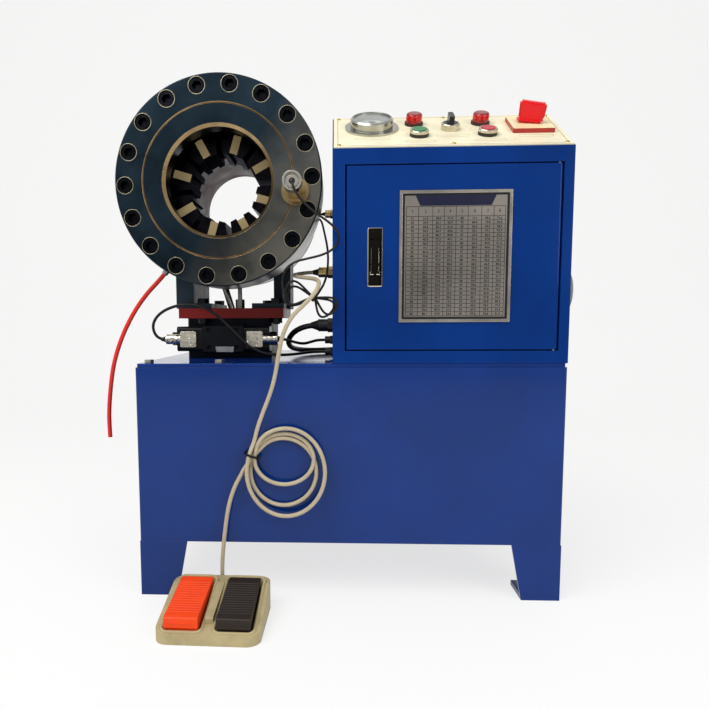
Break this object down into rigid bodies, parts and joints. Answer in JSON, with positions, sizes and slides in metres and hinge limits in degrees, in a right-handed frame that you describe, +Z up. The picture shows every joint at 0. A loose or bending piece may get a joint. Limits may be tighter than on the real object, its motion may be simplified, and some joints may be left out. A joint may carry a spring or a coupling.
{
  "type": "hose crimping machine",
  "caption": "Hydraulic hose crimping machine: oil tank on legs, control cabinet, round crimping head with sliding dies, motor pump and a twin foot switch.",
  "frame": {"origin": "on the floor, at the centre of the four foot plates' anchor holes", "axes": "+X to the operator's right, +Y away from the operator, +Z up"},
  "size_m": [0.7798, 0.6104, 0.835],
  "materials": {
    "tank_paint": "gloss blue",
    "cabinet_paint": "gloss blue",
    "cover_paint": "gloss blue",
    "cream_panel": "satin cream",
    "bolt_steel": "zinc plated",
    "bright_steel": "polished",
    "turned_steel": "turned and oiled",
    "black_steel": "black oxide",
    "hard_steel": "hardened",
    "primer_red": "satin",
    "dark_blue_paint": "satin",
    "stand_paint": "satin",
    "table_plate": "printed",
    "glass": "clear",
    "red_lens": "translucent",
    "green_plastic": "gloss",
    "red_plastic": "gloss",
    "black_plastic": "moulded",
    "cream_plastic": "moulded",
    "grey_plastic": "moulded",
    "galvanised": "galvanised",
    "brass": "turned",
    "motor_paint": "satin grey blue",
    "khaki_cast": "textured",
    "orange_rubber": "moulded",
    "black_rubber": "moulded",
    "cable_grey": "sheath",
    "cable_black": "sheath",
    "red_hose": "translucent",
    "pump_cast": "as cast"
  },
  "bodies": {
    "root": {"tank_shell": "tank_paint", "tank_cover": "cover_paint", "legs": "tank_paint", "hex_bolts": "bolt_steel", "cabinet_shell": "cabinet_paint", "control_panel": "cream_panel", "door_hinges": "bolt_steel", "gauge_case": "bright_steel", "gauge_glass": "glass", "panel_bezels": "bright_steel", "lamp_lenses": "red_lens", "switch_plate": "cream_plastic", "mounting_panel": "galvanised", "switchgear": "grey_plastic", "head_flange": "turned_steel", "cone_ring": "turned_steel", "head_body": "turned_steel", "rear_cover": "turned_steel", "flange_screws": "black_steel", "head_stand": "stand_paint", "mount_plate": "primer_red", "manifold_block": "dark_blue_paint", "valve_body": "black_steel", "solenoids": "black_plastic", "connectors": "grey_plastic", "proximity_sensor": "brass", "pipe_fittings": "bolt_steel", "cable_glands": "brass", "motor": "motor_paint", "pump": "pump_cast", "foot_switch_housing": "khaki_cast", "foot_cable": "cable_grey", "foot_cable_coil": "cable_grey", "sensor_cable": "cable_black", "cable_hank": "cable_black", "valve_cable_left": "cable_black", "valve_cable_right": "cable_black", "motor_cable": "cable_black", "red_tube": "red_hose"},
    "door": {"door": "cabinet_paint", "latch_housing": "bright_steel", "size_table_plate": "table_plate"},
    "latch_lever": {"latch_lever": "bright_steel"},
    "gauge_needle": {"gauge_needle": "black_plastic"},
    "green_button": {"green_button": "green_plastic"},
    "red_button": {"red_button": "red_plastic"},
    "selector": {"selector_lever": "black_plastic"},
    "main_switch": {"switch_handle": "red_plastic"},
    "piston": {"piston": "hard_steel"},
    "motor_rotor": {"motor_rotor": "bolt_steel"},
    "orange_pedal": {"orange_pedal": "orange_rubber"},
    "black_pedal": {"black_pedal": "black_rubber"},
    "die_1": {"master_die_1": "hard_steel"},
    "die_2": {"master_die_2": "hard_steel"},
    "die_3": {"master_die_3": "hard_steel"},
    "die_4": {"master_die_4": "hard_steel"},
    "die_5": {"master_die_5": "hard_steel"},
    "die_6": {"master_die_6": "hard_steel"},
    "die_7": {"master_die_7": "hard_steel"},
    "die_8": {"master_die_8": "hard_steel"}
  },
  "joints": [
    {"name": "door_swing", "type": "hinge", "parent": "root", "child": "door", "pos_m": [0.3135, -0.2195, 0.54], "axis": [0, 0, 1], "range_deg": [0, 110]},
    {"name": "latch_pull", "type": "hinge", "parent": "door", "child": "latch_lever", "pos_m": [0.04075, -0.2205, 0.5149], "axis": [1, 0, 0], "range_deg": [0, 50]},
    {"name": "gauge_sweep", "type": "hinge", "parent": "root", "child": "gauge_needle", "pos_m": [0.0383, -0.15455, 0.75464], "axis": [0, 0.5446, -0.8387], "range_deg": [0, 270], "stiffness_Nm_per_rad": 0.00002},
    {"name": "green_press", "type": "slide", "parent": "root", "child": "green_button", "axis": [0, 0.5446, -0.8387], "range_m": [0, 0.004], "stiffness_N_per_m": 400},
    {"name": "red_press", "type": "slide", "parent": "root", "child": "red_button", "axis": [0, 0.5446, -0.8387], "range_m": [0, 0.004], "stiffness_N_per_m": 400},
    {"name": "selector_turn", "type": "hinge", "parent": "root", "child": "selector", "pos_m": [0.1615, -0.16403, 0.75087], "axis": [0, -0.5446, 0.8387], "range_deg": [-45, 45]},
    {"name": "main_switch_turn", "type": "hinge", "parent": "root", "child": "main_switch", "pos_m": [0.2865, -0.15858, 0.75441], "axis": [0, -0.5446, 0.8387], "range_deg": [-45, 45]},
    {"name": "piston_stroke", "type": "slide", "parent": "root", "child": "piston", "axis": [0, -1, 0], "range_m": [0, 0.04289]},
    {"name": "rotor_spin", "type": "hinge", "parent": "root", "child": "motor_rotor", "pos_m": [0.17, 0.108, 0.5], "axis": [0, 0, 1], "continuous": true},
    {"name": "orange_press", "type": "hinge", "parent": "root", "child": "orange_pedal", "pos_m": [-0.23399, -0.36404, 0.0125], "axis": [-0.9997, 0.0262, 0], "range_deg": [0, 6], "stiffness_Nm_per_rad": 12, "springref_deg": -2.86},
    {"name": "black_press", "type": "hinge", "parent": "root", "child": "black_pedal", "pos_m": [-0.16001, -0.36597, 0.0125], "axis": [-0.9997, 0.0262, 0], "range_deg": [0, 6], "stiffness_Nm_per_rad": 12, "springref_deg": -2.86},
    {"name": "die_1_close", "type": "slide", "parent": "root", "child": "die_1", "axis": [-0.3714, -0.9063, -0.2017], "range_m": [0, 0.02367]},
    {"name": "die_2_close", "type": "slide", "parent": "root", "child": "die_2", "axis": [-0.12, -0.9063, -0.4052], "range_m": [0, 0.02367]},
    {"name": "die_3_close", "type": "slide", "parent": "root", "child": "die_3", "axis": [0.2017, -0.9063, -0.3714], "range_m": [0, 0.02367]},
    {"name": "die_4_close", "type": "slide", "parent": "root", "child": "die_4", "axis": [0.4052, -0.9063, -0.12], "range_m": [0, 0.02367]},
    {"name": "die_5_close", "type": "slide", "parent": "root", "child": "die_5", "axis": [0.3714, -0.9063, 0.2017], "range_m": [0, 0.02367]},
    {"name": "die_6_close", "type": "slide", "parent": "root", "child": "die_6", "axis": [0.12, -0.9063, 0.4052], "range_m": [0, 0.02367]},
    {"name": "die_7_close", "type": "slide", "parent": "root", "child": "die_7", "axis": [-0.2017, -0.9063, 0.3714], "range_m": [0, 0.02367]},
    {"name": "die_8_close", "type": "slide", "parent": "root", "child": "die_8", "axis": [-0.4052, -0.9063, 0.12], "range_m": [0, 0.02367]}
  ],
  "couplings": [
    {"joint": "die_1_close", "follows": "piston_stroke", "ratio": 0.55169},
    {"joint": "die_2_close", "follows": "piston_stroke", "ratio": 0.55169},
    {"joint": "die_3_close", "follows": "piston_stroke", "ratio": 0.55169},
    {"joint": "die_4_close", "follows": "piston_stroke", "ratio": 0.55169},
    {"joint": "die_5_close", "follows": "piston_stroke", "ratio": 0.55169},
    {"joint": "die_6_close", "follows": "piston_stroke", "ratio": 0.55169},
    {"joint": "die_7_close", "follows": "piston_stroke", "ratio": 0.55169},
    {"joint": "die_8_close", "follows": "piston_stroke", "ratio": 0.55169}
  ]
}
